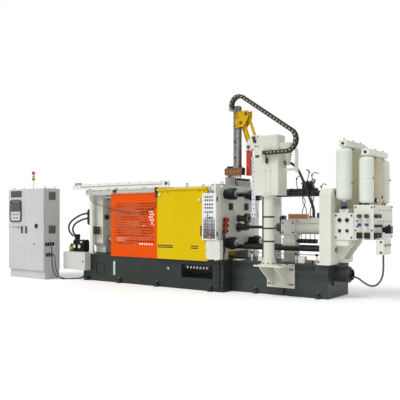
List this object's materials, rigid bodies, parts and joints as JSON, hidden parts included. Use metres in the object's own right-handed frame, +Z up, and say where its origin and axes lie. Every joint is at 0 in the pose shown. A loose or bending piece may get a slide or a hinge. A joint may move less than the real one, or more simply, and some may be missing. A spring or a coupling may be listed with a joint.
{
  "type": "die casting machine",
  "caption": "Cold chamber die casting machine with toggle clamp, guards, injection unit with accumulators, pillar mounted spray robot and separate control cabinet.",
  "frame": {"origin": "on the floor on the machine's centre line, under the fixed platen's die face", "axes": "+X along the machine towards the injection end, +Y away from the operator, +Z up"},
  "size_m": [9.089, 2.308, 3.7773],
  "materials": {
    "bed_green": "satin",
    "machine_cream": "satin",
    "guard_cream": "satin",
    "guard_orange": "satin",
    "door_yellow": "satin",
    "black_steel": "satin",
    "machined_steel": "machined",
    "dark_steel": "satin",
    "bottle_white": "gloss",
    "bottle_olive": "satin",
    "panel_white": "satin",
    "cabinet_grey": "textured",
    "robot_cream": "satin",
    "robot_yellow": "satin",
    "robot_grey": "satin",
    "ram_red": "satin",
    "copper_brown": "oxidised",
    "black_plastic": "matt",
    "lamp_red": "gloss",
    "motor_grey": "painted",
    "black_rubber": "matt",
    "blue_rubber": "matt"
  },
  "bodies": {
    "root": {"clamp_bed": "bed_green", "injection_bed": "bed_green", "rear_platen": "machine_cream", "moving_platen": "machine_cream", "fixed_platen": "machine_cream", "tie_bars": "machined_steel", "tie_bar_nuts": "black_steel", "toggle_linkage": "dark_steel", "clamp_cylinder": "black_steel", "guard_posts": "guard_cream", "guard_beams": "guard_cream", "front_mesh_guard": "guard_orange", "rear_mesh_guard": "guard_orange", "rear_guard_door": "door_yellow", "door_drive": "guard_cream", "operator_panel": "panel_white", "panel_cover": "guard_cream", "centre_flange": "dark_steel", "shot_sleeve": "dark_steel", "shot_cylinder": "machine_cream", "injection_tie_rods": "black_steel", "injection_frame": "machine_cream", "valve_blocks": "machine_cream", "nitrogen_bottles": "bottle_white", "piston_accumulators": "bottle_olive", "accumulator_headers": "bottle_white", "valve_fittings": "black_steel", "terminal_box": "cabinet_grey", "pump_motor": "motor_grey", "robot_stand": "robot_cream", "robot_housing": "robot_cream", "robot_arm_base": "robot_grey", "robot_rams": "ram_red", "drag_chain": "black_plastic", "cabinet_shell": "cabinet_grey", "cable_connectors": "black_plastic", "tower_light": "lamp_red", "junction_box": "panel_white", "left_manifold": "black_steel", "clamp_hose_upper": "black_rubber", "clamp_hose_lower": "black_rubber", "door_cable": "black_rubber", "cabinet_cable_black": "black_rubber", "cabinet_cable_blue": "blue_rubber", "right_conduit": "black_rubber", "robot_hose": "black_rubber"},
    "front_door": {"front_door": "door_yellow", "door_bracket": "black_steel"},
    "plunger": {"plunger_rod": "machined_steel"},
    "main_arm": {"robot_main_arm": "robot_yellow"},
    "link_arm": {"robot_link_arm": "robot_yellow"},
    "wrist": {"robot_wrist": "robot_yellow", "robot_mast": "robot_grey", "spray_head": "copper_brown"},
    "cabinet_door_left": {"cabinet_door_left": "cabinet_grey"},
    "cabinet_door_right": {"cabinet_door_right": "cabinet_grey"},
    "main_switch": {"main_switch": "black_plastic"},
    "junction_box_door": {"junction_box_door": "panel_white"}
  },
  "joints": [
    {"name": "front_door_slide", "type": "slide", "parent": "root", "child": "front_door", "axis": [-1, 0, 0], "range_m": [0, 1.25], "deforming": ["door_cable"]},
    {"name": "plunger_slide", "type": "slide", "parent": "root", "child": "plunger", "axis": [-1, 0, 0], "range_m": [0, 0.54]},
    {"name": "robot_swing", "type": "hinge", "parent": "root", "child": "main_arm", "pos_m": [1.16, -0.86, 2.79], "axis": [0, 1, 0], "range_deg": [-15, 20], "deforming": ["drag_chain"]},
    {"name": "link_swing", "type": "hinge", "parent": "root", "child": "link_arm", "pos_m": [1.27, -0.86, 2.95], "axis": [0, 1, 0], "range_deg": [-15, 20]},
    {"name": "wrist_level", "type": "hinge", "parent": "main_arm", "child": "wrist", "pos_m": [0.99, -0.86, 3.26], "axis": [0, 1, 0], "range_deg": [-20, 15]},
    {"name": "cabinet_left_swing", "type": "hinge", "parent": "root", "child": "cabinet_door_left", "pos_m": [-5.502, -1.3985, 1], "axis": [0, 0, -1], "range_deg": [0, 110]},
    {"name": "cabinet_right_swing", "type": "hinge", "parent": "root", "child": "cabinet_door_right", "pos_m": [-4.156, -1.3985, 1], "axis": [0, 0, 1], "range_deg": [0, 110]},
    {"name": "main_switch_turn", "type": "hinge", "parent": "cabinet_door_right", "child": "main_switch", "pos_m": [-4.425, -1.42, 1.26], "axis": [0, 1, 0], "range_deg": [0, 90]},
    {"name": "junction_box_swing", "type": "hinge", "parent": "root", "child": "junction_box_door", "pos_m": [-3.987, -0.962, 0.44], "axis": [0, 0, -1], "range_deg": [0, 90]}
  ],
  "couplings": [
    {"joint": "link_swing", "follows": "robot_swing", "ratio": 1},
    {"joint": "wrist_level", "follows": "robot_swing", "ratio": -1}
  ]
}
